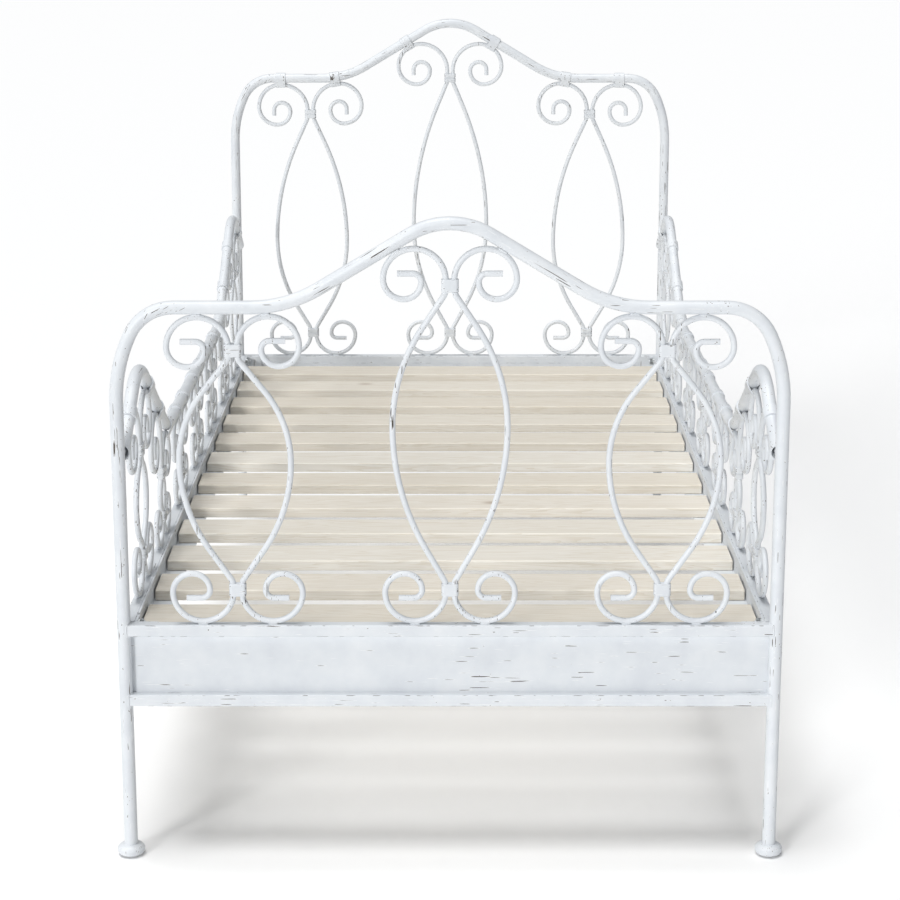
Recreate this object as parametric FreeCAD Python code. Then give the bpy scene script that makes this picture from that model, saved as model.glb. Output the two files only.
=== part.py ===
import FreeCAD, Part
import math
import os
from FreeCAD import Vector

# Painted iron twin bed frame. Millimetres, +Z up, floor at Z = 0, origin under the bed's middle.
# The footboard stands at -Y and the headboard at +Y.

os.makedirs("parts", exist_ok=True)

# ---- driving dimensions ---------------------------------------------------------------------

POST_SPACING = 1034.0            # across the bed, post centre to post centre
BED_LENGTH = 1960.0              # footboard post centre to headboard post centre
FOOT_FLAT_Z = 904.5              # centre line of the footboard tube beside its crest
HEAD_FLAT_Z = 1072.0
CREST_RISE = 130.5               # crest above the flat, both boards

TUBE_D = 21.3
TUBE_WALL = 2.0
ROD_D = 9.5
BAR = 19.0                       # square tube
BAR_WALL = 1.5
BAR_EDGE_R = 1.8
UPPER_BAR_Z = 384.0
LOWER_BAR_Z = 267.0
APRON_THICK = 1.5
APRON_SET_BACK = 15.0            # from the bars' outer faces

SHOULDER_LONG_R = 252.0          # the post leans in on this radius,
SHOULDER_LONG_TURN = 25.0
SHOULDER_TIGHT_R = 75.5          # then turns to level on this one
CREST_R = 120.0
CREST_SLOPE = 31.1
VALLEY_R = 205.0

LYRE_PITCH = 335.0               # lyres across a board
ROD_SPREAD = 6.5                 # rod centre from the lyre's centre inside a collar
FOOT_CURL = (49.0, 47.0, 31.5, 27.0, 13.0)          # one radius for each quarter turn
FOOT_CURL_TAIL = 24.0
HEAD_CURL = (63.5, 53.0, 43.0, 32.0, 21.0, 18.0)
HEAD_CURL_TAIL = 13.0
THROAT_R = 26.0                  # bend of a rod just outside a collar
FOOT_BELLY = 87.0                # half width of a lyre's body, to the rod's centre
FOOT_CENTRE_BELLY = 89.5
HEAD_BELLY = 84.5
HEAD_CENTRE_BELLY = 88.0
FOOT_BELLY_LEVEL = 0.54          # widest level, as a share of the way up between the collars
HEAD_BELLY_LEVEL = 0.43
SIDE_BELLY_LEVEL = 0.5
BELLY_STRAIGHT = 56.0            # straight run of rod between throat and belly
FOOT_NECKS = (8.0, 3.0)          # collar's middle to curl: centre lyre, outer lyres
HEAD_NECKS = (17.0, 6.5)

COLLAR_WALL = 2.25
COLLAR_W = 2 * (ROD_SPREAD + ROD_D / 2 + COLLAR_WALL)
COLLAR_D = ROD_D + 5.0
COLLAR_H = 20.0
COLLAR_EDGE_R = 1.0
ROD_STRAIGHT_IN_COLLAR = 0.2     # of the collar's height, each way from its middle
LOW_COLLAR_LIFT = 10.0 / 3       # bottom collar's middle above the start of the lower curl
COLLAR_GROOVE_H = 3.0
COLLAR_GROOVE_DEEP = 1.2
RING_BAND = 2.5
RING_WIDTH = 22.0

SIDE_INSET = 6.0                 # side panel's plane inside the post's centre
SIDE_GAP = 1.0                   # side rails stop this short of the posts
HUMP_FROM_POST = 190.0
HUMP_Z = 758.0
SIDE_FLAT_Z = 578.0
SECOND_LYRE_FROM_POST = 442.0
HUMP_NECK = 17.0
HUMP_BELLY = 58.0
HUMP_STRAIGHT = 10.0
MIDDLE_LYRES = 3                 # between the second lyres from each post
MIDDLE_NECK = 5.0
MIDDLE_LYRE_GAP = 60.0           # least clear width between neighbouring middle lyres
MIDDLE_CURL_GAP = 12.0           # least clear height between their top and bottom curls
EYE_BELLY = 25.0                 # the short body of the middle lyres
EYE_THROAT_R = 12.0

BUN_D = 44.0
BUN_H = 17.0
BUN_BASE_D = 31.0
BUN_NECK_GAP = 0.6
BUN_RIM_LOW = 0.36               # the rim's two edges, as shares of the foot's height
BUN_RIM_HIGH = 0.62
BUN_BULGE = 1.6
GLIDE_D = 25.0
GLIDE_SHOWS = 2.0
GLIDE_SUNK = 2.0

CORNER_LEG = 38.0
CORNER_THICK = 4.0
CORNER_END_GAP = 1.0
LEDGE_LEG = 38.0
LEDGE_THICK = 3.0
LEDGE_END_GAP = 4.0
BOLT_D = 8.0
BOLT_CLEARANCE = 0.6
BOLT_ALONG_LEG = 0.55            # bolt's place on the angle's leg, from the corner
BOLT_HEAD_D = 16.0
BOLT_HEAD_H = 4.4
WASHER_D = 16.0
WASHER_THICK = 1.6
NUT_ACROSS_FLATS = 13.0
NUT_H = 6.5
BOLT_TAIL = 2.0
PIN_D = 8.0
PIN_REACH = 10.0

SLAT_COUNT = 12
SLAT_W = 90.0
SLAT_THICK = 19.0
SLAT_END_GAP = 3.0
SLAT_EDGE_R = 3.0

# ---- what follows from them -----------------------------------------------------------------

TUBE_R = TUBE_D / 2
ROD_R = ROD_D / 2
POST_X = POST_SPACING / 2
POST_Y = BED_LENGTH / 2
SIDE_X = POST_X - SIDE_INSET
SIDE_IN_X = SIDE_X - BAR / 2
BOARD_IN_Y = POST_Y - BAR / 2
SIDE_END_Y = POST_Y - TUBE_R - SIDE_GAP
BAR_TOP_Z = UPPER_BAR_Z + BAR / 2
BAR_UNDER_Z = LOWER_BAR_Z - BAR / 2
POST_BASE_Z = GLIDE_SHOWS + BUN_H
OVER_ROD = TUBE_R + ROD_R
CREST_HALF = CREST_R * math.sin(math.radians(CREST_SLOPE))


def export(name, solids):
    solids = solids if isinstance(solids, list) else [solids]
    shape = solids[0] if len(solids) == 1 else Part.makeCompound(solids)
    shape.exportStep(f"parts/{name}.step")


def box(x0, x1, y0, y1, z0, z1):
    return Part.makeBox(x1 - x0, y1 - y0, z1 - z0, Vector(x0, y0, z0))


def mirrored(shape, across=Vector(1, 0, 0)):
    return shape.mirror(Vector(0, 0, 0), across)


def to_end(shape, sign):
    """Moves a board drawn in the XZ plane, with its outer face to -Y, to the end of that sign."""
    placed = shape.copy()
    placed.translate(Vector(0, -POST_Y, 0))
    return placed if sign < 0 else mirrored(placed, Vector(0, 1, 0))


def to_side(shape, sign):
    """Turns a panel drawn in the XZ plane to run along Y, at the bed's side of that sign."""
    turned = shape.copy()
    turned.rotate(Vector(0, 0, 0), Vector(0, 0, 1), 90)
    turned.translate(Vector(SIDE_X, 0, 0))
    return turned if sign > 0 else mirrored(turned)


# ---- bent tube and rod ----------------------------------------------------------------------


class Bend:
    """A bar's centre line in the XZ plane, drawn as straight runs and tangent arcs."""

    def __init__(self, x, z, heading):
        self.at = Vector(x, 0, z)
        self.heading = heading
        self.moves = []
        self.steps = []

    def way(self, angle):
        return Vector(math.cos(math.radians(angle)), 0, math.sin(math.radians(angle)))

    def run(self, length):
        reach = self.way(self.heading) * length
        self.steps.append((reach, None))
        self.moves.append((self.run, length))
        self.at = self.at + reach
        return self

    def turn(self, radius, angle):
        """Turns to the left for a positive angle, to the right for a negative one."""
        side = 90 if angle > 0 else -90
        centre = self.at + self.way(self.heading + side) * radius
        self.steps.append((centre, angle))
        self.moves.append((self.turn, radius, angle))
        self.at = centre + self.way(self.heading - side + angle) * radius
        self.heading += angle
        return self

    def mirror_on(self):
        """Goes on with the mirror image of the line so far, to a matching end."""
        for move, *sizes in self.moves[::-1]:
            move(*sizes)
        return self

    def skin(self, ring):
        """The faces that a circle at the line's start leaves on its way, and its last place."""
        faces = []
        for where, angle in self.steps:
            if angle is None:
                faces += ring.extrude(where).Faces
                ring = ring.translated(where)
            else:
                faces += ring.revolve(where, Vector(0, -1, 0), angle).Faces
                ring = ring.rotated(where, Vector(0, -1, 0), angle)
        return faces, ring


def circle(x, z, way, radius):
    return Part.Circle(Vector(x, 0, z), way, radius).toShape()


def closed(skin, ends):
    """One solid from skin faces that meet edge to edge and the circles at its two ends."""
    shell = Part.makeShell(skin + [Part.Face(Part.Wire([ring])) for ring in ends])
    shell.sewShape()
    solid = Part.makeSolid(shell)
    return solid if solid.Volume > 0 else solid.reversed()


def crest_line(distance, crest_z, flat_z):
    """Centre line's height and fall, in degrees, at a distance from a crest's middle."""
    slope = math.radians(CREST_SLOPE)
    far = abs(distance)
    slope_run, valley_run = crest_runs(crest_z - flat_z)
    if far <= CREST_HALF:
        turn = math.asin(far / CREST_R)
        return crest_z - CREST_R * (1 - math.cos(turn)), math.degrees(turn)
    if far <= CREST_HALF + slope_run:
        top = crest_z - CREST_R * (1 - math.cos(slope))
        return top - (far - CREST_HALF) * math.tan(slope), CREST_SLOPE
    if far <= CREST_HALF + slope_run + valley_run:
        turn = math.asin((CREST_HALF + slope_run + valley_run - far) / VALLEY_R)
        return flat_z + VALLEY_R * (1 - math.cos(turn)), math.degrees(turn)
    return flat_z, 0.0


def crest_runs(rise):
    """Level lengths of the straight slope and of the valley arc below a crest of that rise."""
    slope = math.radians(CREST_SLOPE)
    arcs = (CREST_R + VALLEY_R) * (1 - math.cos(slope))
    return (rise - arcs) / math.tan(slope), VALLEY_R * math.sin(slope)


def hoop(flat_z, radius):
    """A board's tube: post, shoulder, level, slope and crest, then the same again, mirrored."""
    tight = 90 - SHOULDER_LONG_TURN
    long_turn = math.radians(SHOULDER_LONG_TURN)
    drop = SHOULDER_LONG_R * math.sin(long_turn)
    drop += SHOULDER_TIGHT_R * (1 - math.cos(math.radians(tight)))
    reach = SHOULDER_LONG_R * (1 - math.cos(long_turn))
    reach += SHOULDER_TIGHT_R * math.sin(math.radians(tight))
    slope_run, valley_run = crest_runs(CREST_RISE)
    level = POST_X - reach - CREST_HALF - slope_run - valley_run
    bend = Bend(-POST_X, POST_BASE_Z, 90)
    bend.run(flat_z - drop - POST_BASE_Z)
    bend.turn(SHOULDER_LONG_R, -SHOULDER_LONG_TURN).turn(SHOULDER_TIGHT_R, -tight)
    bend.run(level).turn(VALLEY_R, CREST_SLOPE)
    bend.run(slope_run / math.cos(math.radians(CREST_SLOPE)))
    bend.turn(CREST_R, -CREST_SLOPE).mirror_on()
    start = circle(-POST_X, POST_BASE_Z, bend.way(90), radius)
    skin, end = bend.skin(start)
    return closed(skin, [start, end])


def side_rail(radius):
    """The guard panel's top tube: a hump at each end and a long level stretch between."""
    slope_run, valley_run = crest_runs(HUMP_Z - SIDE_FLAT_Z)
    slant = 1 / math.cos(math.radians(CREST_SLOPE))
    to_crest = HUMP_FROM_POST - CREST_HALF
    start_z = HUMP_Z - CREST_R * (1 - 1 / slant) - to_crest * math.tan(math.radians(CREST_SLOPE))
    bend = Bend(-POST_Y, start_z, CREST_SLOPE)
    bend.run(to_crest * slant).turn(CREST_R, -2 * CREST_SLOPE)
    bend.run(slope_run * slant).turn(VALLEY_R, CREST_SLOPE)
    bend.run(-bend.at.x).mirror_on()
    start = circle(-POST_Y, start_z, bend.way(CREST_SLOPE), radius)
    skin, end = bend.skin(start)
    whole = closed(skin, [start, end])
    return whole.common(box(-SIDE_END_Y, SIDE_END_Y, -TUBE_D, TUBE_D, 0, 2 * HUMP_Z))


def side_rail_line(along):
    """Height and fall of the guard panel's top tube; along runs from the bed's middle."""
    from_hump = abs(along) - (POST_Y - HUMP_FROM_POST)
    height, fall = crest_line(from_hump, HUMP_Z, SIDE_FLAT_Z)
    return height, fall if along * from_hump > 0 else -fall


def board_line(flat_z):
    def line(along):
        height, fall = crest_line(along, flat_z + CREST_RISE, flat_z)
        return height, fall if along > 0 else -fall
    return line


# ---- lyres ----------------------------------------------------------------------------------


def curl_point(curl, angle):
    """A place on the first half turn of a curl, as (outward, up) from where the curl starts."""
    first, second = curl[0], curl[1]
    turn = math.radians(angle)
    if angle <= 90:
        return first * (1 - math.cos(turn)), first * math.sin(turn)
    return first - second * math.cos(turn), first - second + second * math.sin(turn)


def touch(curl, centre, side, line):
    """Where a curl first meets the tube above it: the curl's start height and the tube's place."""
    best = None
    for angle in range(20, 161):
        outward, up = curl_point(curl, angle)
        along = centre + side * (ROD_SPREAD + outward)
        height, fall = line(along)
        start = height - OVER_ROD / math.cos(math.radians(fall)) - up
        if best is None or start < best[0]:
            best = (start, along, fall)
    start, along, fall = best
    tube_along = along + OVER_ROD * math.sin(math.radians(fall))
    return start, tube_along, fall


def curl_path(bend, curl, tail, turn_side):
    for radius in curl:
        bend.turn(radius, 90 * turn_side)
    if tail > 0:
        bend.run(tail)
    return bend


def belly_path(bend, out, down, straight, throat, turn_side):
    """From a collar to the lyre's widest level: throat arc, straight run, belly arc."""
    lean = 2 * math.atan(out / (down + straight))
    both = (down - straight * math.cos(lean)) / math.sin(lean)
    degrees = math.degrees(lean)
    bend.turn(throat, degrees * turn_side)
    if straight > 0:
        bend.run(straight)
    bend.turn(both - throat, -degrees * turn_side)
    return bend


def lyre_rod(plan, side):
    """One rod of a lyre, on the side of that sign, from its top curl to its bottom curl."""
    top, bottom = plan["top_knot"], plan["bottom_knot"]
    in_collar = COLLAR_H * ROD_STRAIGHT_IN_COLLAR
    widest = bottom + (top - bottom) * plan["level"]
    x = side * ROD_SPREAD
    out = plan["belly"] - ROD_SPREAD
    straight, throat = plan["straight"], plan["throat"]
    upper = Bend(x, top, 90).run(plan["curl_start"][side] - top)
    curl_path(upper, plan["curl"][side], plan["tail"][side], -side)
    falling = Bend(x, top, 270).run(in_collar)
    belly_path(falling, out, falling.at.z - widest, straight, throat, side)
    rising = Bend(x, bottom, 90).run(in_collar)
    belly_path(rising, out, widest - rising.at.z, straight, throat, -side)
    lower = Bend(x, bottom, 270).run(bottom - plan["low_start"])
    curl_path(lower, plan["low_curl"], plan["low_tail"], side)
    skin, ends = [], []
    for bend, z, at_end in ((upper, top, True), (falling, top, False),
                            (rising, bottom, False), (lower, bottom, True)):
        faces, ring = bend.skin(circle(x, z, Vector(0, 0, 1), ROD_R))
        skin += faces
        if at_end:
            ends.append(ring)
    rod = closed(skin, ends)
    rod.translate(Vector(plan["centre"], 0, 0))
    return rod


def scaled(curl, share):
    return tuple(radius * share for radius in curl)


def plan_lyre(centre, line, curls, tails, neck, belly, level, low_share=1.0,
              straight=BELLY_STRAIGHT, throat=THROAT_R, neck_side=None):
    """Sizes of one lyre: its curls hang from the tube above and stand on the bar below.

    neck is the straight rod between the top collar's middle and the curl. Where the tube is
    higher on one side, neck_side names the side that has this neck and the other gets longer.
    """
    touches = {side: touch(curls[side], centre, side, line) for side in (-1, 1)}
    starts = {side: touches[side][0] for side in (-1, 1)}
    top_knot = starts[neck_side] - neck if neck_side else min(starts.values()) - neck
    low_curl = scaled(FOOT_CURL, low_share)
    low_start = BAR_TOP_Z + ROD_R + low_curl[0]
    return {
        "centre": centre, "touches": touches, "curl_start": starts, "curl": curls,
        "tail": tails, "top_knot": top_knot, "bottom_knot": low_start + LOW_COLLAR_LIFT,
        "low_start": low_start, "low_curl": low_curl, "low_tail": FOOT_CURL_TAIL * low_share,
        "belly": belly, "level": level, "straight": straight, "throat": throat,
    }


def both(value):
    return {-1: value, 1: value}


def collar(centre, z, rods, grooved):
    """A strap round both rods of a lyre, cut to lie against them."""
    half_w, half_d, half_h = COLLAR_W / 2, COLLAR_D / 2, COLLAR_H / 2
    block = box(-half_w, half_w, -half_d, half_d, -half_h, half_h)
    uprights = [edge for edge in block.Edges if edge.BoundBox.ZLength > COLLAR_H / 2]
    block = block.makeFillet(COLLAR_D / 3, uprights)
    rims = [edge for edge in block.Edges if edge.BoundBox.ZLength < COLLAR_H / 100]
    block = block.makeFillet(COLLAR_EDGE_R, rims)
    if grooved:
        wide = COLLAR_W - 2 * COLLAR_GROOVE_DEEP
        deep = COLLAR_D - 2 * COLLAR_GROOVE_DEEP
        half_belt = COLLAR_GROOVE_H / 2
        belt = box(-COLLAR_W, COLLAR_W, -COLLAR_D, COLLAR_D, -half_belt, half_belt)
        core = box(-wide / 2, wide / 2, -deep / 2, deep / 2, -COLLAR_H, COLLAR_H)
        edges = [edge for edge in core.Edges if edge.BoundBox.ZLength > COLLAR_H]
        block = block.cut(belt.cut(core.makeFillet(deep / 3, edges)))
    block.translate(Vector(centre, 0, z))
    for rod in rods:
        block = block.cut(rod)
    return block


def egg_face(big, small, apart):
    """The hull of a big circle at the origin and a small one below it, as a face across X."""
    lean = math.asin((big - small) / apart)
    side, up = math.cos(lean), -math.sin(lean)
    big_left, big_right = Vector(0, -big * side, big * up), Vector(0, big * side, big * up)
    low = Vector(0, 0, -apart)
    small_left = low + Vector(0, -small * side, small * up)
    small_right = low + Vector(0, small * side, small * up)
    edges = [
        Part.Arc(big_left, Vector(0, 0, big), big_right).toShape(),
        Part.LineSegment(big_right, small_right).toShape(),
        Part.Arc(small_right, low + Vector(0, 0, -small), small_left).toShape(),
        Part.LineSegment(small_left, big_left).toShape(),
    ]
    return Part.Face(Part.Wire(edges))


def tie_ring(along, height, fall, tube, rod):
    """A strap that ties a curl to the tube above it, square to the tube."""
    outer = egg_face(TUBE_R + RING_BAND, ROD_R + RING_BAND, OVER_ROD)
    inner = egg_face(TUBE_R, ROD_R, OVER_ROD)
    band = outer.cut(inner).extrude(Vector(RING_WIDTH, 0, 0))
    band.translate(Vector(-RING_WIDTH / 2, 0, 0))
    band.rotate(Vector(0, 0, 0), Vector(0, 1, 0), fall)
    band.translate(Vector(along, 0, height))
    band = band.cut(tube).cut(rod)
    return max(band.Solids, key=lambda solid: solid.Volume)


def build_lyre(plan, grooved, line=None, tube=None):
    """Rods, collars and, where a tube is given, tie rings of one lyre."""
    rods = {side: lyre_rod(plan, side) for side in (-1, 1)}
    collars = [collar(plan["centre"], z, rods.values(), grooved)
               for z in (plan["top_knot"], plan["bottom_knot"])]
    rings = []
    if tube is not None:
        for side in (-1, 1):
            _, along, fall = plan["touches"][side]
            rings.append(tie_ring(along, line(along)[0], fall, tube, rods[side]))
    return [rods[-1], rods[1]], collars, rings


# ---- boards ---------------------------------------------------------------------------------


def square_bar(length, z):
    """A square tube along X with rounded edges, centred at height z."""
    half = BAR / 2
    outer = box(-length / 2, length / 2, -half, half, z - half, z + half)
    long_edges = [edge for edge in outer.Edges if edge.BoundBox.XLength > length / 2]
    outer = outer.makeFillet(BAR_EDGE_R, long_edges)
    bore = half - BAR_WALL
    return outer.cut(box(-length, length, -bore, bore, z - bore, z + bore))


def apron_sheet(length):
    """Flat sheet between the two bars, near their inner faces; the outer face looks to -Y."""
    front = -BAR / 2 + APRON_SET_BACK
    low, high = LOWER_BAR_Z + BAR / 2, UPPER_BAR_Z - BAR / 2
    return box(-length / 2, length / 2, front, front + APRON_THICK, low, high)


def bulged(start, end, bulge):
    """An arc between two places that stands out from the axis by that much at its middle."""
    along = (end - start).normalize()
    return Part.Arc(start, (start + end) / 2 + Vector(along.z, 0, -along.x) * bulge, end).toShape()


def bun_foot(x):
    """Turned foot: a narrow base, a rounded rim and a top that closes in on the post."""
    base, rim, neck = BUN_BASE_D / 2, BUN_D / 2, TUBE_R + BUN_NECK_GAP
    low, high = GLIDE_SHOWS, GLIDE_SHOWS + BUN_H
    rim_low, rim_high = low + BUN_RIM_LOW * BUN_H, low + BUN_RIM_HIGH * BUN_H
    points = [Vector(0, 0, low), Vector(base, 0, low), Vector(rim, 0, rim_low),
              Vector(rim, 0, rim_high), Vector(neck, 0, high), Vector(0, 0, high)]
    under = bulged(points[1], points[2], BUN_BULGE)
    over = bulged(points[3], points[4], BUN_BULGE)
    edges = [
        Part.LineSegment(points[0], points[1]).toShape(), under,
        Part.LineSegment(points[2], points[3]).toShape(), over,
        Part.LineSegment(points[4], points[5]).toShape(),
        Part.LineSegment(points[5], points[0]).toShape(),
    ]
    foot = Part.Face(Part.Wire(edges)).revolve(Vector(0, 0, 0), Vector(0, 0, 1), 360)
    foot = foot.cut(Part.makeCylinder(GLIDE_D / 2, GLIDE_SUNK, Vector(0, 0, low)))
    foot.translate(Vector(x, 0, 0))
    return foot


def build_board(name, flat_z, sign, lyres, grooved, ringed):
    """One end board: tube, bars, sheet, lyres with their straps, and the feet."""
    def place(shape):
        return to_end(shape, sign)

    outer = hoop(flat_z, TUBE_R)
    export(f"{name}_hoop_tube", place(outer.cut(hoop(flat_z, TUBE_R - TUBE_WALL))))
    export(f"{name}_upper_bar", place(square_bar(POST_SPACING, UPPER_BAR_Z).cut(outer)))
    export(f"{name}_lower_bar", place(square_bar(POST_SPACING, LOWER_BAR_Z).cut(outer)))
    export(f"{name}_apron", place(apron_sheet(POST_SPACING).cut(outer)))
    line = board_line(flat_z)
    all_collars, all_rings = [], []
    for where, plan in lyres.items():
        rods, collars, rings = build_lyre(plan, grooved, line, outer if ringed else None)
        export(f"{name}_lyre_{where}", [place(rod) for rod in rods])
        all_collars += [place(shape) for shape in collars]
        all_rings += [place(shape) for shape in rings]
    export(f"{name}_knot_collars", all_collars)
    if all_rings:
        export(f"{name}_tie_rings", all_rings)
    for where, x in (("left", -POST_X), ("right", POST_X)):
        export(f"{name}_bun_foot_{where}", place(bun_foot(x)))


def board_lyres(flat_z, curl, tail, necks, bellies, level):
    line = board_line(flat_z)
    return {
        where: plan_lyre(x, line, both(curl), both(tail), necks[where != "centre"],
                         bellies[where != "centre"], level)
        for where, x in (("left", -LYRE_PITCH), ("centre", 0.0), ("right", LYRE_PITCH))
    }


build_board("foot", FOOT_FLAT_Z, -1,
            board_lyres(FOOT_FLAT_Z, FOOT_CURL, FOOT_CURL_TAIL, FOOT_NECKS,
                        (FOOT_CENTRE_BELLY, FOOT_BELLY), FOOT_BELLY_LEVEL), False, False)
build_board("head", HEAD_FLAT_Z, 1,
            board_lyres(HEAD_FLAT_Z, HEAD_CURL, HEAD_CURL_TAIL, HEAD_NECKS,
                        (HEAD_CENTRE_BELLY, HEAD_BELLY), HEAD_BELLY_LEVEL), True, True)


# ---- side panels ----------------------------------------------------------------------------


def middle_share(pitch):
    """Size of the middle lyres' curls, against a board's: as large as both clear gaps allow."""
    half_width = (pitch - MIDDLE_LYRE_GAP) / 2 - ROD_SPREAD - ROD_R
    height = SIDE_FLAT_Z - TUBE_R - BAR_TOP_Z - 2 * ROD_D - MIDDLE_CURL_GAP
    by_width = half_width / (HEAD_CURL[0] + HEAD_CURL[1])
    by_height = height / (HEAD_CURL[1] + HEAD_CURL[2] + FOOT_CURL[1] + FOOT_CURL[2])
    return min(by_width, by_height)


def side_lyres():
    """Lyres along a side: under each hump, beside it, and along the level stretch."""
    hump_at = POST_Y - HUMP_FROM_POST
    second_at = POST_Y - SECOND_LYRE_FROM_POST
    pitch = 2 * second_at / (MIDDLE_LYRES + 1)
    share = middle_share(pitch)
    small = scaled(HEAD_CURL, share)
    small_tail = HEAD_CURL_TAIL * share
    plans = []
    for end in (-1, 1):
        plans.append(plan_lyre(end * hump_at, side_rail_line, both(HEAD_CURL),
                               both(HEAD_CURL_TAIL), HUMP_NECK, HUMP_BELLY, SIDE_BELLY_LEVEL,
                               straight=HUMP_STRAIGHT))
        plans.append(plan_lyre(end * second_at, side_rail_line, {end: HEAD_CURL, -end: small},
                               {end: HEAD_CURL_TAIL, -end: small_tail}, MIDDLE_NECK, EYE_BELLY,
                               SIDE_BELLY_LEVEL, share, 0.0, EYE_THROAT_R, neck_side=-end))
    for index in range(MIDDLE_LYRES):
        plans.append(plan_lyre((index + 1) * pitch - second_at, side_rail_line, both(small),
                               both(small_tail), MIDDLE_NECK, EYE_BELLY, SIDE_BELLY_LEVEL,
                               share, 0.0, EYE_THROAT_R))
    return sorted(plans, key=lambda plan: plan["centre"])


def bolt_places():
    """Where the corner bolts cross the side bars, as (along the bed, up)."""
    along = BOARD_IN_Y - CORNER_LEG * BOLT_ALONG_LEG
    return [(end * along, z) for end in (-1, 1) for z in (LOWER_BAR_Z, UPPER_BAR_Z)]


def bolt_holes():
    """Clearance holes drawn along Y, for a panel in the XZ plane."""
    radius = (BOLT_D + BOLT_CLEARANCE) / 2
    return [Part.makeCylinder(radius, 4 * BAR, Vector(along, -2 * BAR, z), Vector(0, 1, 0))
            for along, z in bolt_places()]


def slat_ledge(sign):
    """Angle iron inside the side bars; its level leg carries the slats."""
    length = 2 * (BOARD_IN_Y - CORNER_LEG - LEDGE_END_GAP)
    foot_z = BAR_TOP_Z - LEDGE_LEG
    upright = box(SIDE_IN_X - LEDGE_THICK, SIDE_IN_X, -length / 2, length / 2, foot_z, BAR_TOP_Z)
    level = box(SIDE_IN_X - LEDGE_LEG, SIDE_IN_X, -length / 2, length / 2, foot_z,
                foot_z + LEDGE_THICK)
    ledge = upright.fuse(level).removeSplitter()
    return ledge if sign > 0 else mirrored(ledge)


def build_side(name, sign):
    """One side: guard panel on two bars with a sheet between, and the ledge for the slats."""
    def place(shape):
        return to_side(shape, sign)

    tube = side_rail(TUBE_R)
    export(f"{name}_top_rail", place(tube.cut(side_rail(TUBE_R - TUBE_WALL))))
    holes = bolt_holes()
    for bar, z in (("upper", UPPER_BAR_Z), ("lower", LOWER_BAR_Z)):
        shape = square_bar(2 * SIDE_END_Y, z)
        for hole in holes:
            shape = shape.cut(hole)
        export(f"{name}_{bar}_bar", place(shape))
    export(f"{name}_apron", place(apron_sheet(2 * SIDE_END_Y)))
    all_collars, all_rings = [], []
    for number, plan in enumerate(side_lyres(), 1):
        rods, collars, rings = build_lyre(plan, True, side_rail_line, tube)
        export(f"{name}_lyre_{number}", [place(rod) for rod in rods])
        all_collars += [place(shape) for shape in collars]
        all_rings += [place(shape) for shape in rings]
    export(f"{name}_knot_collars", all_collars)
    export(f"{name}_tie_rings", all_rings)
    export(f"{name}_slat_ledge", slat_ledge(sign))


for side_name, side_sign in (("side_left", -1), ("side_right", 1)):
    build_side(side_name, side_sign)


# ---- corner joints --------------------------------------------------------------------------


def corner_angle(x_sign, y_sign):
    """Upright angle iron in a corner: welded to the board's bars, bolted to the side's bars."""
    inner_x, inner_y = SIDE_IN_X, BOARD_IN_Y
    low, high = BAR_UNDER_Z + CORNER_END_GAP, BAR_TOP_Z - CORNER_END_GAP
    along_board = box(inner_x - CORNER_LEG, inner_x, inner_y - CORNER_THICK, inner_y, low, high)
    along_side = box(inner_x - CORNER_THICK, inner_x, inner_y - CORNER_LEG, inner_y, low, high)
    angle = along_board.fuse(along_side).removeSplitter()
    radius = (BOLT_D + BOLT_CLEARANCE) / 2
    for along, z in bolt_places():
        if along > 0:
            start = Vector(inner_x - CORNER_LEG, along, z)
            angle = angle.cut(Part.makeCylinder(radius, 2 * CORNER_LEG, start, Vector(1, 0, 0)))
    if x_sign < 0:
        angle = mirrored(angle)
    if y_sign < 0:
        angle = mirrored(angle, Vector(0, 1, 0))
    return angle


def hexagon(across, height):
    radius = across / math.sqrt(3)
    corners = [math.radians(60 * k) for k in range(7)]
    points = [Vector(0, radius * math.cos(turn), radius * math.sin(turn)) for turn in corners]
    return Part.Face(Part.makePolygon(points)).extrude(Vector(height, 0, 0))


def corner_bolt():
    """Domed bolt along X with its head's underside at the origin; the shank points to -X."""
    radius, rise = BOLT_HEAD_D / 2, BOLT_HEAD_H
    ball = (radius ** 2 + rise ** 2) / (2 * rise)
    dome = Part.makeSphere(ball, Vector(rise - ball, 0, 0))
    dome = dome.common(box(0, rise, -radius, radius, -radius, radius))
    grip = BAR + CORNER_THICK + WASHER_THICK + NUT_H + BOLT_TAIL
    shank = Part.makeCylinder(BOLT_D / 2, grip, Vector(-grip, 0, 0), Vector(1, 0, 0))
    return dome.fuse(shank).removeSplitter()


def ring_x(outer, inner, start, thick):
    disc = Part.makeCylinder(outer, thick, Vector(start - thick, 0, 0), Vector(1, 0, 0))
    return disc.cut(Part.makeCylinder(inner, thick, Vector(start - thick, 0, 0), Vector(1, 0, 0)))


def corner_fixings():
    bolt = corner_bolt()
    washer_face = -BAR - CORNER_THICK
    washer = ring_x(WASHER_D / 2, (BOLT_D + BOLT_CLEARANCE) / 2, washer_face, WASHER_THICK)
    nut = hexagon(NUT_ACROSS_FLATS, NUT_H)
    nut.translate(Vector(washer_face - WASHER_THICK - NUT_H, 0, 0))
    nut = nut.cut(Part.makeCylinder(BOLT_D / 2, 2 * BAR, Vector(-3 * BAR, 0, 0), Vector(1, 0, 0)))
    kinds = {"corner_bolts": bolt, "corner_washers": washer, "corner_nuts": nut}
    for name, piece in kinds.items():
        placed = []
        for sign in (-1, 1):
            for along, z in bolt_places():
                copy = piece.copy() if sign > 0 else mirrored(piece)
                copy.translate(Vector(sign * (SIDE_X + BAR / 2), along, z))
                placed.append(copy)
        export(name, placed)


for end_name, end_sign in (("foot", -1), ("head", 1)):
    for side_name, side_sign in (("left", -1), ("right", 1)):
        export(f"corner_angle_{end_name}_{side_name}", corner_angle(side_sign, end_sign))
corner_fixings()


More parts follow.
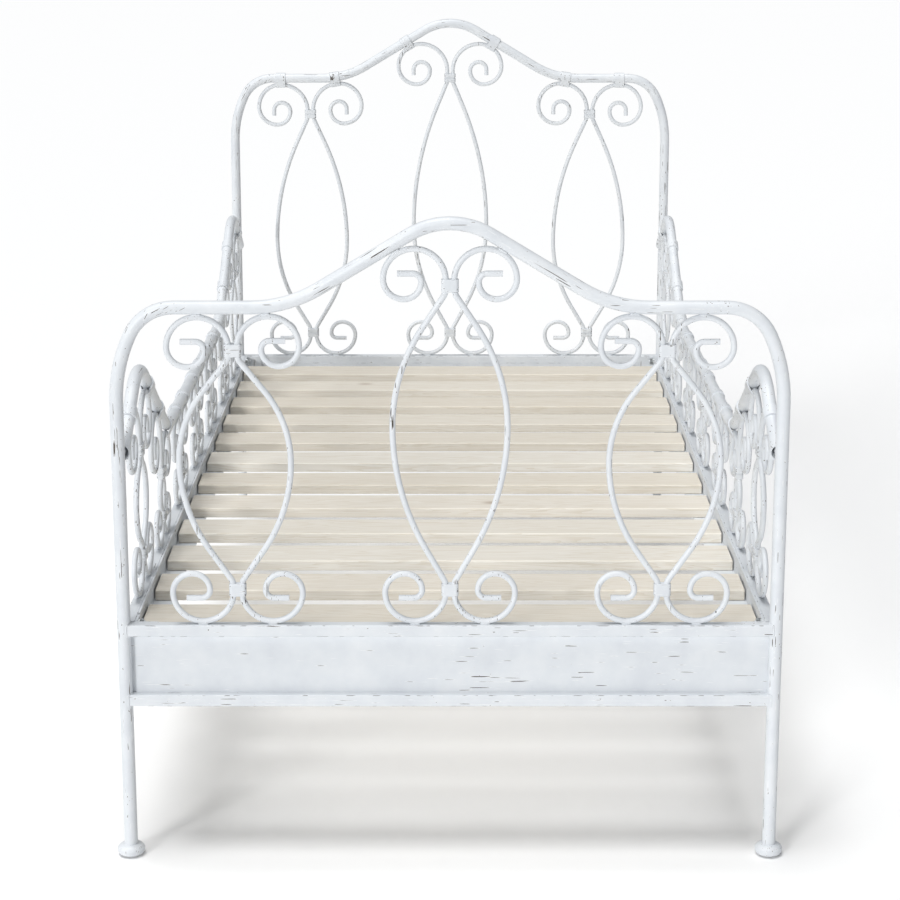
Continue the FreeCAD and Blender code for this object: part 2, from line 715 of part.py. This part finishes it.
def rail_pins():
    """Short pins on the posts that the guard panels' top tubes slip over."""
    pins = []
    rail_z = crest_line(HUMP_FROM_POST - TUBE_R - PIN_REACH / 2, HUMP_Z, SIDE_FLAT_Z)[0]
    for x_sign in (-1, 1):
        post = Part.makeCylinder(TUBE_R, 2 * rail_z, Vector(x_sign * POST_X, POST_Y, 0))
        start = SIDE_END_Y - PIN_REACH
        pin = Part.makeCylinder(PIN_D / 2, POST_Y - start, Vector(x_sign * SIDE_X, start, rail_z),
                                Vector(0, 1, 0)).cut(post)
        pin = min(pin.Solids, key=lambda solid: solid.CenterOfMass.y)
        pins += [pin, mirrored(pin, Vector(0, 1, 0))]
    return pins


export("rail_pins", rail_pins())

# ---- slats and glides -----------------------------------------------------------------------


def slats():
    deck_z = BAR_TOP_Z - LEDGE_LEG + LEDGE_THICK
    half = SIDE_IN_X - LEDGE_THICK - SLAT_END_GAP
    reach = BOARD_IN_Y - CORNER_LEG - LEDGE_END_GAP - SLAT_W / 2
    boards = []
    for index in range(SLAT_COUNT):
        y = -reach + index * 2 * reach / (SLAT_COUNT - 1)
        board = box(-half, half, y - SLAT_W / 2, y + SLAT_W / 2, deck_z, deck_z + SLAT_THICK)
        long_edges = [edge for edge in board.Edges if edge.BoundBox.XLength > half]
        boards.append(board.makeFillet(SLAT_EDGE_R, long_edges))
    return boards


export("pine_slats", slats())
export("floor_glides", [
    Part.makeCylinder(GLIDE_D / 2, GLIDE_SHOWS + GLIDE_SUNK, Vector(x, y, 0))
    for x in (-POST_X, POST_X) for y in (-POST_Y, POST_Y)
])
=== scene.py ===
import math
import random

import bmesh
import bpy
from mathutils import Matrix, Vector
from mathutils.bvhtree import BVHTree


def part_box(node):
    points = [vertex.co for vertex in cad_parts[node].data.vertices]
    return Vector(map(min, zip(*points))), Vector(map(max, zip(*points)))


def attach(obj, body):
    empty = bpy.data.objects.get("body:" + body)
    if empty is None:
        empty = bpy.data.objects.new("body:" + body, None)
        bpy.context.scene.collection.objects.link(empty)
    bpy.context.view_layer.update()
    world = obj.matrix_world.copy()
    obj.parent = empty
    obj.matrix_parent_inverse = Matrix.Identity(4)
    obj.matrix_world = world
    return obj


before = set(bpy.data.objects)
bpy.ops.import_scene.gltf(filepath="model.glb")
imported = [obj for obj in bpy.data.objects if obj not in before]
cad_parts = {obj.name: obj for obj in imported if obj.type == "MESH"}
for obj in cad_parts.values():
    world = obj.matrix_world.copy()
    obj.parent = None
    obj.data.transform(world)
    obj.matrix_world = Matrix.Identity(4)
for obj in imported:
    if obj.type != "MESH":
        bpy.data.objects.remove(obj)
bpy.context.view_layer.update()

scene = bpy.context.scene

# ---- camera ---------------------------------------------------------------------------------
# In front of the footboard and a little above head height, on the bed's middle line. The small
# shift keeps the posts near upright while the bed stays in frame from every other side.

LOOKS_DOWN = 12.68

camera = bpy.data.objects.new("camera", bpy.data.cameras.new("camera"))
scene.collection.objects.link(camera)
scene.camera = camera
camera.location = (0.0, -4.265, 1.561)
camera.rotation_euler = (math.radians(90 - LOOKS_DOWN), 0.0, 0.0)
camera.data.sensor_width = 36.0
camera.data.lens = 87.33
camera.data.shift_y = -0.1

# ---- painted iron: tubes, bars, sheets, rods, feet ------------------------------------------
# Bent steel tube, square tube and round rod, welded and brush painted in a cool white over a
# dark primer. The film is satin, slightly uneven, and rubbed through in thin lines that run
# along each member, most of all on edges and on the tops that hands touch.


def linear(code):
    """sRGB hex colour as linear red, green, blue and alpha."""
    parts = [int(code[k:k + 2], 16) / 255 for k in (1, 3, 5)]
    low = [part / 12.92 for part in parts]
    high = [((part + 0.055) / 1.055) ** 2.4 for part in parts]
    return [l if part <= 0.04045 else h for part, l, h in zip(parts, low, high)] + [1.0]


def add(tree, kind, links=None, settings=None):
    """A node of that kind; links go to its sockets, as another socket or a constant."""
    made = tree.nodes.new(kind)
    for name, value in (settings or {}).items():
        setattr(made, name, value)
    for name, value in (links or {}).items():
        if isinstance(value, bpy.types.NodeSocket):
            tree.links.new(value, made.inputs[name])
        else:
            made.inputs[name].default_value = value
    return made


def new_material(name):
    made = bpy.data.materials.new(name)
    made.use_nodes = True
    made.node_tree.nodes.clear()
    return made, made.node_tree


def finish_material(tree, shader):
    add(tree, "ShaderNodeOutputMaterial", {"Surface": shader})


def ramp(tree, value, stops):
    """Colour ramp over a value; stops are (position, colour)."""
    made = add(tree, "ShaderNodeValToRGB", {"Fac": value})
    while len(made.color_ramp.elements) < len(stops):
        made.color_ramp.elements.new(0.5)
    for element, (position, colour) in zip(made.color_ramp.elements, stops):
        element.position = position
        element.color = colour
    return made.outputs["Color"]


def above(tree, value, low, high):
    """0 below low, 1 above high, and smooth between."""
    made = add(tree, "ShaderNodeMapRange", {0: value, 1: low, 2: high},
               {"interpolation_type": "SMOOTHSTEP"})
    return made.outputs[0]


def maths(tree, operation, first, second):
    made = add(tree, "ShaderNodeMath", {0: first, 1: second}, {"operation": operation})
    return made.outputs[0]


def streaks(tree, position, grain, seed, long_mm, wide_mm):
    """Noise drawn out along one axis; grain is 0, 1 or 2 for X, Y or Z."""
    stretch = [1000 / wide_mm] * 3
    stretch[grain] = 1000 / long_mm
    moved = add(tree, "ShaderNodeMapping", {"Vector": position, "Location": (seed, -seed, 2 * seed),
                                            "Scale": stretch})
    made = add(tree, "ShaderNodeTexNoise", {"Vector": moved.outputs[0], "Scale": 1.0,
                                            "Detail": 1.5, "Roughness": 0.45})
    return made.outputs["Fac"]


LINE_WIDE_MM = 2.3
CHIP_LONG_MM = 7.0
CHIP_WIDE_MM = 2.8
CHIP_FEWER = 0.055
PATCH_PULL = 0.22


def rub(tree, position, grain, seed, long_mm=44.0):
    """High along thin lines and at a few small chips, and higher where those gather."""
    lines = streaks(tree, position, grain, seed, long_mm, LINE_WIDE_MM)
    chips = streaks(tree, position, grain, seed + 7, CHIP_LONG_MM, CHIP_WIDE_MM)
    highest = maths(tree, "MAXIMUM", lines, maths(tree, "SUBTRACT", chips, CHIP_FEWER))
    patches = add(tree, "ShaderNodeTexNoise", {"Vector": position, "Scale": 10.0, "Detail": 1.0})
    centred = maths(tree, "SUBTRACT", patches.outputs["Fac"], 0.5)
    gathered = maths(tree, "MULTIPLY", centred, PATCH_PULL)
    return maths(tree, "ADD", highest, gathered)


def edge_mask(tree, amount):
    """High on the rounded edges between flat faces, from the surface's own direction."""
    facing = add(tree, "ShaderNodeNewGeometry").outputs["True Normal"]
    size = add(tree, "ShaderNodeVectorMath", {0: facing}, {"operation": "ABSOLUTE"})
    apart = add(tree, "ShaderNodeSeparateXYZ", {0: size.outputs[0]})
    flattest = maths(tree, "MAXIMUM", apart.outputs["X"],
                     maths(tree, "MAXIMUM", apart.outputs["Y"], apart.outputs["Z"]))
    return maths(tree, "MULTIPLY", above(tree, maths(tree, "SUBTRACT", 1.0, flattest), 0.02, 0.2),
                 amount)


# Metres out from the middle line where each stretch of a hoop begins, and its lean in degrees.
HOOP_STRETCHES = ((0.04, 31.0), (0.215, 0.0), (0.385, 28.0), (0.455, 62.0))
POST_BEGINS = 0.498
POST_ALONE = 0.503
BLEND = 0.01
HOOP_LINE_MM = 60.0
HALVES_APART = 7.0


def hoop_rub(tree, place):
    """Rub marks that turn with the tube: level, down the crest's slope, round, then upright."""
    apart = add(tree, "ShaderNodeSeparateXYZ", {0: place})
    outward = maths(tree, "ABSOLUTE", apart.outputs["X"], 0.0)
    folded = add(tree, "ShaderNodeCombineXYZ", {"X": outward, "Y": apart.outputs["Y"],
                                                "Z": apart.outputs["Z"]}).outputs[0]
    half = add(tree, "ShaderNodeMapRange", {0: apart.outputs["X"], 1: -0.001, 2: 0.001}).outputs[0]
    offset = add(tree, "ShaderNodeCombineXYZ", {"X": 0.0, "Y": maths(tree, "MULTIPLY", half, HALVES_APART),
                                                "Z": 0.0}).outputs[0]
    shifted = add(tree, "ShaderNodeVectorMath", {0: folded, 1: offset},
                  {"operation": "ADD"}).outputs[0]
    rubbed = rub(tree, shifted, 0, 3.0, HOOP_LINE_MM)
    for start, turn in HOOP_STRETCHES:
        leant = add(tree, "ShaderNodeMapping", {"Vector": shifted,
                                                "Rotation": (0.0, -math.radians(turn), 0.0)})
        here = rub(tree, leant.outputs[0], 0, 3.0 + turn, HOOP_LINE_MM)
        rubbed = add(tree, "ShaderNodeMix", {
            "Factor": above(tree, outward, start, start + BLEND), "A": rubbed,
            "B": here}).outputs[0]
    return add(tree, "ShaderNodeMix", {"Factor": above(tree, outward, POST_BEGINS, POST_ALONE),
                                       "A": rubbed, "B": rub(tree, shifted, 2, 5.0)}).outputs[0]


RIM_FROM = 0.690                 # rub level where the film first lifts pale round a mark
WORN_FROM = 0.735                # and where the primer begins to show
WORN_FULL = 0.765


def painted_iron(name, along, amount, edges=0.0, tint="#DBDFE3"):
    """along is the axis a member runs on, or "hoop" for tubes that turn from upright to level."""
    made, tree = new_material(name)
    place = add(tree, "ShaderNodeTexCoord").outputs["Object"]
    if along == "hoop":
        brush_axis = 0
        rubbed = hoop_rub(tree, place)
    else:
        brush_axis = along
        rubbed = rub(tree, place, along, 3.0)
    worn = above(tree, rubbed, WORN_FROM - amount, WORN_FULL - amount)
    rim = above(tree, rubbed, RIM_FROM - amount, WORN_FROM - amount)
    if edges > 0:
        nicks = above(tree, streaks(tree, place, brush_axis, 21.0, 14.0, 3.0), 0.57, 0.63)
        worn = maths(tree, "MAXIMUM", worn, maths(tree, "MULTIPLY", nicks, edge_mask(tree, edges)))
    mottle = add(tree, "ShaderNodeTexNoise", {"Vector": place, "Scale": 22.0, "Detail": 4.0,
                                              "Roughness": 0.55})
    film = ramp(tree, mottle.outputs["Fac"], [(0.28, linear("#D5D9DE")), (0.5, linear(tint)),
                                              (0.74, linear("#E1E4E7"))])
    lifted = add(tree, "ShaderNodeMix", {"Factor": maths(tree, "MULTIPLY", rim, 0.7), "A": film,
                                         "B": linear("#F3F4F4")}, {"data_type": "RGBA"})
    dark = add(tree, "ShaderNodeTexNoise", {"Vector": place, "Scale": 700.0, "Detail": 2.0})
    primer = ramp(tree, dark.outputs["Fac"], [(0.3, linear("#2B2725")), (0.7, linear("#6B635C"))])
    colour = add(tree, "ShaderNodeMix", {"Factor": worn, "A": lifted.outputs["Result"],
                                         "B": primer}, {"data_type": "RGBA"})
    brushed = streaks(tree, place, brush_axis, 11.0, 60.0, 1.4)
    lumps = add(tree, "ShaderNodeTexNoise", {"Vector": place, "Scale": 110.0, "Detail": 2.0})
    height = maths(tree, "ADD", maths(tree, "MULTIPLY", brushed, 0.35), lumps.outputs["Fac"])
    height = maths(tree, "SUBTRACT", height, maths(tree, "MULTIPLY", worn, 0.8))
    bump = add(tree, "ShaderNodeBump", {"Height": height, "Strength": 0.22, "Distance": 0.0008})
    gloss = add(tree, "ShaderNodeMapRange", {0: mottle.outputs["Fac"], 3: 0.36, 4: 0.52})
    rough = maths(tree, "ADD", gloss.outputs[0], maths(tree, "MULTIPLY", worn, 0.3))
    shader = add(tree, "ShaderNodeBsdfPrincipled", {
        "Base Color": colour.outputs["Result"], "Roughness": rough, "IOR": 1.5,
        "Normal": bump.outputs[0]})
    finish_material(tree, shader.outputs[0])
    return made


iron = {
    "hoop": painted_iron("painted_iron_hoop", "hoop", 0.050),
    "square_across": painted_iron("painted_iron_square_across", 0, 0.020, 0.75),
    "square_lengthways": painted_iron("painted_iron_square_lengthways", 1, 0.010, 0.75),
    "round_lengthways": painted_iron("painted_iron_round_lengthways", 1, 0.040),
    "sheet": painted_iron("painted_iron_sheet", 0, -0.008),
    "rod": painted_iron("painted_iron_rod", 2, 0.040),
    "collar": painted_iron("painted_iron_collar", 0, 0.030, 0.8),
    "ring": painted_iron("painted_iron_ring", 2, 0.050),
}


def dress(node, material):
    """Gives a CAD node its finish."""
    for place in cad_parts[node].material_slots:
        place.material = material


def iron_kind(node):
    side = node.startswith("side_")
    if node.endswith("hoop_tube"):
        return "hoop"
    if node.endswith("top_rail"):
        return "round_lengthways"
    if node.endswith("bar") or node.endswith("ledge"):
        return "square_lengthways" if side else "square_across"
    if node.endswith("apron"):
        return "round_lengthways" if side else "sheet"
    if node.endswith("collars"):
        return "collar"
    if node.endswith("rings") or "bun_foot" in node:
        return "ring"
    return "rod"


loose = {"pine_slats", "corner_washers", "corner_nuts", "floor_glides"}
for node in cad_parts:
    if node not in loose:
        dress(node, iron[iron_kind(node)])

# ---- weld beads -----------------------------------------------------------------------------
# Short rippled runs of weld, painted over with the rest: along both sides of each scroll where
# it stands on a bar or meets the footboard tube, and round each bar's end on its post.

random.seed(7)
BEAD_R = 0.0018
BEAD_OUT = 0.0030                # from the rod's middle to each side
BEAD_BACK = 0.0010               # and back from the surface it meets
BEAD_LENGTH = 0.016
BEAD_SIDES = 10
BEAD_STEPS = 10
END_LEAST = 0.04                 # square of the least share of its radius at a bead's end
RIPPLE = 0.14
RIPPLE_TURN = 2.4
RIPPLE_STRAY = 0.06
SIDE_LYRES = 7


def bead(mesh, path, radius, ring):
    """Adds a rippled tube along a path to a mesh; ring says that the path closes on itself."""
    loops = []
    count = len(path)
    for k, point in enumerate(path):
        before = path[k - 1] if ring or k > 0 else point
        after = path[(k + 1) % count] if ring or k < count - 1 else point
        way = (after - before).normalized()
        taper = 1.0 if ring else math.sqrt(max(END_LEAST, 1 - (2 * k / (count - 1) - 1) ** 4))
        stray = random.uniform(-RIPPLE_STRAY, RIPPLE_STRAY)
        here = radius * taper * (1 + RIPPLE * math.sin(RIPPLE_TURN * k) + stray)
        turns = [2 * math.pi * step / BEAD_SIDES for step in range(BEAD_SIDES)]
        reference = Vector((0, 1, 0)) if abs(way.y) < 0.8 else Vector((0, 0, 1))
        side = (reference - way * reference.dot(way)).normalized()
        up = way.cross(side)
        loops.append([mesh.verts.new(point + (side * math.cos(a) + up * math.sin(a)) * here)
                      for a in turns])
    pairs = list(zip(loops, loops[1:] + loops[:1] if ring else loops[1:]))
    for low, high in pairs:
        for step in range(BEAD_SIDES):
            beyond = (step + 1) % BEAD_SIDES
            mesh.faces.new((low[step], low[beyond], high[beyond], high[step]))
    if not ring:
        mesh.faces.new(loops[0][::-1])
        mesh.faces.new(loops[-1])


def surface(node):
    """A node's surface, for finding what is nearest to it."""
    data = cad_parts[node].data
    return BVHTree.FromPolygons([v.co for v in data.vertices], [p.vertices for p in data.polygons])


def meeting(lyre, other, side, middle, axis):
    """Where a lyre meets another node on one side of its middle, and the way into that node."""
    tree = surface(other)
    best = None
    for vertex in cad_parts[lyre].data.vertices:
        if (vertex.co[axis] - middle) * side <= 0:
            continue
        near, normal, _, gap = tree.find_nearest(vertex.co)
        if best is None or gap < best[0]:
            best = (gap, near, -normal)
    return best[1:]


def finish_beads(name, mesh):
    bmesh.ops.recalc_face_normals(mesh, faces=mesh.faces)
    data = bpy.data.meshes.new(name)
    mesh.to_mesh(data)
    mesh.free()
    for face in data.polygons:
        face.use_smooth = True
    data.materials.append(iron["rod"])
    piece = bpy.data.objects.new(name, data)
    scene.collection.objects.link(piece)
    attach(piece, "root")


def scroll_beads(mesh, spot, toward, axis):
    """Beads on both sides of a rod where it touches something; axis is the way it runs."""
    facing = toward.copy()
    facing[1 - axis] = 0.0
    facing.normalize()
    across = Vector((0, 1, 0)) if axis == 0 else Vector((1, 0, 0))
    along = across.cross(facing).normalized()
    for sign in (-1, 1):
        foot = spot + across * sign * BEAD_OUT - facing * BEAD_BACK
        path = [foot + along * (step / BEAD_STEPS - 0.5) * BEAD_LENGTH
                for step in range(BEAD_STEPS + 1)]
        bead(mesh, path, BEAD_R, False)


for board in ("foot", "head"):
    beads = bmesh.new()
    for which in ("left", "centre", "right"):
        lyre = f"{board}_lyre_{which}"
        low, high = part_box(lyre)
        middle = (low.x + high.x) / 2
        others = [f"{board}_upper_bar"] + ([f"{board}_hoop_tube"] if board == "foot" else [])
        for other in others:
            for side in (-1, 1):
                spot, toward = meeting(lyre, other, side, middle, 0)
                scroll_beads(beads, spot, toward, 0)
    finish_beads(f"{board}_scroll_welds", beads)
for side_name in ("side_left", "side_right"):
    beads = bmesh.new()
    for number in range(1, SIDE_LYRES + 1):
        lyre = f"{side_name}_lyre_{number}"
        low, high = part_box(lyre)
        middle = (low.y + high.y) / 2
        for side in (-1, 1):
            spot, toward = meeting(lyre, f"{side_name}_upper_bar", side, middle, 1)
            scroll_beads(beads, spot, toward, 1)
    finish_beads(f"{side_name}_scroll_welds", beads)


BAR_CORNER_R = 0.0018
FLAT_STEPS = 6
CORNER_STEPS = 6
BAR_BEAD_SHARE = 0.8             # of BEAD_R


def bar_loop(bar, hoop, sign):
    """The line where a square bar's end meets the round post, from the bar's own corners."""
    low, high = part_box(bar)
    post_low, post_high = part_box(hoop)
    post_r = (post_high.y - post_low.y) / 2
    post_y = (post_high.y + post_low.y) / 2
    post_x = sign * (post_high.x - post_r)
    half = (high.y - low.y) / 2
    centre_z = (low.z + high.z) / 2
    corner = BAR_CORNER_R
    points = []
    for quarter in range(4):
        turn = quarter * math.pi / 2
        for step in range(FLAT_STEPS + CORNER_STEPS):
            if step < FLAT_STEPS:
                y, z = half, (half - corner) * (2 * step / FLAT_STEPS - 1)
            else:
                a = (step - FLAT_STEPS + 1) / (CORNER_STEPS + 1) * math.pi / 2
                y = half - corner + corner * math.cos(a)
                z = half - corner + corner * math.sin(a)
            turned_y = y * math.cos(turn) - z * math.sin(turn)
            turned_z = y * math.sin(turn) + z * math.cos(turn)
            x = post_x - sign * math.sqrt(post_r ** 2 - turned_y ** 2)
            points.append(Vector((x, post_y + turned_y, centre_z + turned_z)))
    return points


for board in ("foot", "head"):
    beads = bmesh.new()
    for bar in ("upper_bar", "lower_bar"):
        for sign in (-1, 1):
            loop = bar_loop(f"{board}_{bar}", f"{board}_hoop_tube", sign)
            bead(beads, loop, BEAD_R * BAR_BEAD_SHARE, True)
    finish_beads(f"{board}_bar_welds", beads)

# ---- slats ----------------------------------------------------------------------------------
# Planed softwood boards with eased edges, laid loose on the ledges. Pale, lightly oiled, each
# cut from a different length, with long even grain and a few small knots.


SLATS = 12
SLAT_W = 0.090
RINGS_ACROSS = 11.0
KNOT_EDGE = 0.925
KNOT_HEART = 0.985


def grained_wood(name):
    made, tree = new_material(name)
    place = add(tree, "ShaderNodeTexCoord").outputs["Object"]
    apart = add(tree, "ShaderNodeSeparateXYZ", {0: place})
    low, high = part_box("pine_slats")
    pitch = (high.y - low.y - SLAT_W) / (SLATS - 1)
    row = maths(tree, "MULTIPLY_ADD", apart.outputs["Y"], 1 / pitch)
    row.node.inputs[2].default_value = 0.5 - (low.y + SLAT_W / 2) / pitch
    board = maths(tree, "FLOOR", row, 0.0)
    own = add(tree, "ShaderNodeTexWhiteNoise", {"W": board}, {"noise_dimensions": "1D"})
    shift = add(tree, "ShaderNodeVectorMath", {0: own.outputs["Color"], 1: (9.0, 9.0, 9.0)},
                {"operation": "MULTIPLY"})
    moved = add(tree, "ShaderNodeVectorMath", {0: place, 1: shift.outputs[0]},
                {"operation": "ADD"})
    stretched = add(tree, "ShaderNodeMapping", {"Vector": moved.outputs[0],
                                                "Scale": (1.1, 26.0, 26.0)})
    rings = add(tree, "ShaderNodeTexNoise", {"Vector": stretched.outputs[0], "Scale": 2.2,
                                             "Detail": 3.0, "Distortion": 0.6})
    bands = maths(tree, "MULTIPLY", rings.outputs["Fac"], RINGS_ACROSS)
    wave = maths(tree, "FRACT", bands, 0.0)
    late = above(tree, wave, 0.35, 1.0)
    fibre_place = add(tree, "ShaderNodeMapping", {"Vector": moved.outputs[0],
                                                  "Scale": (18.0, 900.0, 900.0)})
    fibre = add(tree, "ShaderNodeTexNoise", {"Vector": fibre_place.outputs[0], "Scale": 1.0,
                                             "Detail": 2.0})
    early = ramp(tree, own.outputs["Value"], [(0.0, linear("#E7E1D6")), (0.5, linear("#E1DACD")),
                                              (1.0, linear("#EAE6DD"))])
    grain = add(tree, "ShaderNodeMix", {"Factor": maths(tree, "MULTIPLY", late, 0.45), "A": early,
                                        "B": linear("#CFC3AE")}, {"data_type": "RGBA"})
    knot_place = add(tree, "ShaderNodeMapping", {"Vector": moved.outputs[0],
                                                 "Scale": (0.6, 1.0, 1.0)})
    knots = add(tree, "ShaderNodeTexVoronoi", {"Vector": knot_place.outputs[0], "Scale": 4.2})
    knot = above(tree, maths(tree, "SUBTRACT", 1.0, knots.outputs["Distance"]),
                 KNOT_EDGE, KNOT_HEART)
    colour = add(tree, "ShaderNodeMix", {"Factor": maths(tree, "MULTIPLY", knot, 0.55),
                                         "A": grain.outputs["Result"], "B": linear("#8A6A48")},
                 {"data_type": "RGBA"})
    height = maths(tree, "ADD", fibre.outputs["Fac"], maths(tree, "MULTIPLY", late, 0.4))
    bump = add(tree, "ShaderNodeBump", {"Height": height, "Strength": 0.25, "Distance": 0.0005})
    rough = add(tree, "ShaderNodeMapRange", {0: fibre.outputs["Fac"], 3: 0.5, 4: 0.68})
    shader = add(tree, "ShaderNodeBsdfPrincipled", {
        "Base Color": colour.outputs["Result"], "Roughness": rough.outputs[0], "IOR": 1.5,
        "Normal": bump.outputs[0]})
    finish_material(tree, shader.outputs[0])
    return made


dress("pine_slats", grained_wood("planed_pine"))

# ---- washers and nuts -----------------------------------------------------------------------
# Bright zinc plate over steel, with the faint cloudy patches and fine scuffs that plating has.

zinc, zinc_tree = new_material("zinc_plated_steel")
zinc_place = add(zinc_tree, "ShaderNodeTexCoord").outputs["Object"]
cloud = add(zinc_tree, "ShaderNodeTexNoise", {"Vector": zinc_place, "Scale": 240.0, "Detail": 3.0})
zinc_tone = ramp(zinc_tree, cloud.outputs["Fac"], [(0.3, linear("#A9ADAF")),
                                                   (0.7, linear("#C8CBCB"))])
scuff = add(zinc_tree, "ShaderNodeTexNoise", {"Vector": zinc_place, "Scale": 1500.0,
                                              "Detail": 2.0})
zinc_rough = add(zinc_tree, "ShaderNodeMapRange", {0: scuff.outputs["Fac"], 3: 0.26, 4: 0.46})
zinc_bump = add(zinc_tree, "ShaderNodeBump", {"Height": scuff.outputs["Fac"], "Strength": 0.15,
                                              "Distance": 0.0002})
zinc_shader = add(zinc_tree, "ShaderNodeBsdfPrincipled", {
    "Base Color": zinc_tone, "Metallic": 1.0, "Roughness": zinc_rough.outputs[0],
    "Normal": zinc_bump.outputs[0]})
finish_material(zinc_tree, zinc_shader.outputs[0])
for node in ("corner_washers", "corner_nuts"):
    dress(node, zinc)

# ---- floor glides ---------------------------------------------------------------------------
# Moulded white nylon discs let into the feet, dull and lightly scuffed from the floor.

nylon, nylon_tree = new_material("moulded_nylon")
nylon_place = add(nylon_tree, "ShaderNodeTexCoord").outputs["Object"]
haze = add(nylon_tree, "ShaderNodeTexNoise", {"Vector": nylon_place, "Scale": 160.0, "Detail": 3.0})
nylon_tone = ramp(nylon_tree, haze.outputs["Fac"], [(0.3, linear("#C9C8C2")),
                                                    (0.7, linear("#DEDDD8"))])
nylon_rough = add(nylon_tree, "ShaderNodeMapRange", {0: haze.outputs["Fac"], 3: 0.42, 4: 0.6})
nylon_bump = add(nylon_tree, "ShaderNodeBump", {"Height": haze.outputs["Fac"], "Strength": 0.12,
                                                "Distance": 0.0003})
nylon_shader = add(nylon_tree, "ShaderNodeBsdfPrincipled", {
    "Base Color": nylon_tone, "Roughness": nylon_rough.outputs[0], "IOR": 1.53,
    "Normal": nylon_bump.outputs[0]})
finish_material(nylon_tree, nylon_shader.outputs[0])
dress("floor_glides", nylon)

# ---- floor and light ------------------------------------------------------------------------
# A pale studio floor, a broad soft light overhead, a harder one from the left in front, and an
# even pale surround.

FLOOR_HALF = 60.0

paper, paper_tree = new_material("studio_floor")
paper_shader = add(paper_tree, "ShaderNodeBsdfPrincipled", {
    "Base Color": linear("#FFFFFF"), "Roughness": 0.9, "IOR": 1.45})
finish_material(paper_tree, paper_shader.outputs[0])
floor_mesh = bpy.data.meshes.new("floor")
flat = bmesh.new()
bmesh.ops.create_grid(flat, x_segments=1, y_segments=1, size=FLOOR_HALF)
flat.to_mesh(floor_mesh)
flat.free()
floor = bpy.data.objects.new("floor", floor_mesh)
floor.data.materials.append(paper)
scene.collection.objects.link(floor)

for name, toward, energy, spread in (("overhead", (-0.14, -0.06, 1.0), 2.25, 34),
                                     ("front_left", (-0.48, -0.80, 0.26), 1.65, 14)):
    lamp = bpy.data.objects.new(name, bpy.data.lights.new(name, "SUN"))
    lamp.data.energy = energy
    lamp.data.angle = math.radians(spread)
    lamp.rotation_euler = Vector(toward).to_track_quat("Z", "Y").to_euler()
    scene.collection.objects.link(lamp)

sky = bpy.data.worlds.new("sky")
sky.use_nodes = True
surround = sky.node_tree.nodes["Background"]
surround.inputs["Color"].default_value = linear("#F4F7FA")
surround.inputs["Strength"].default_value = 0.19
scene.world = sky
scene.view_settings.view_transform = "Standard"
